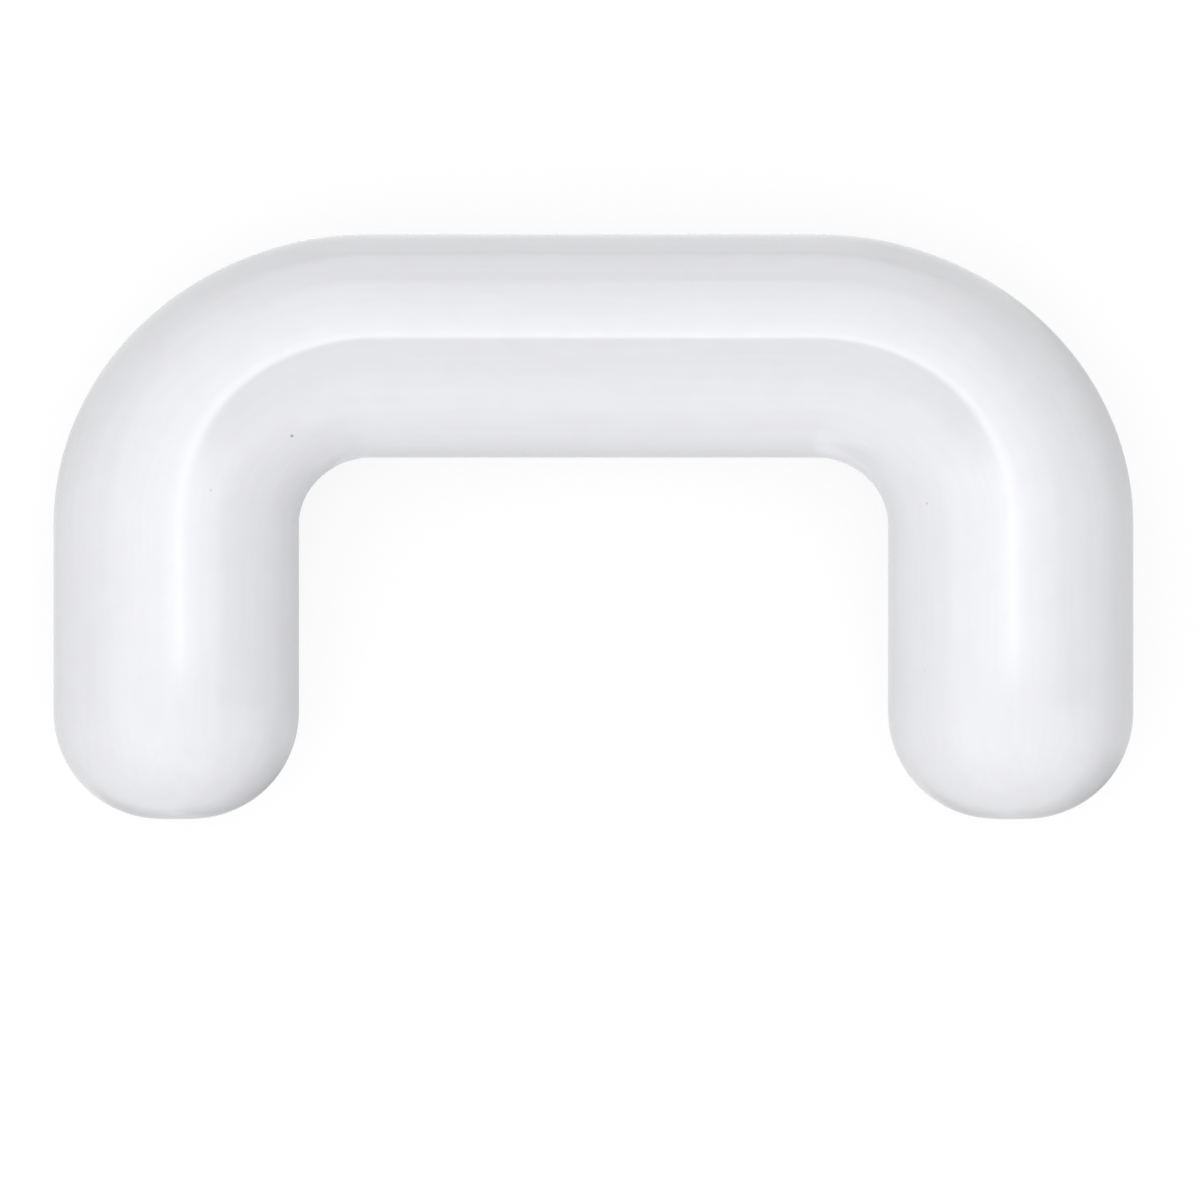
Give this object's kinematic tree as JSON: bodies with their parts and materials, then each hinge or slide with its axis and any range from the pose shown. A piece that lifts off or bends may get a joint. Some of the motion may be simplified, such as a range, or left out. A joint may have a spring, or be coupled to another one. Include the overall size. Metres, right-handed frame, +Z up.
{
  "type": "septum retainer",
  "caption": "Smooth staple-shaped septum retainer bent from one solid gloss white rod, with rounded tips.",
  "frame": {"origin": "under the middle of the part, on the surface it lies on", "axes": "+X across the two legs, -Y along the legs towards their tips, +Z up out of the surface it lies on"},
  "size_m": [0.0176, 0.0096, 0.004],
  "materials": {
    "retainer": "gloss white, polished"
  },
  "bodies": {
    "root": {"retainer": "retainer"}
  },
  "joints": []
}
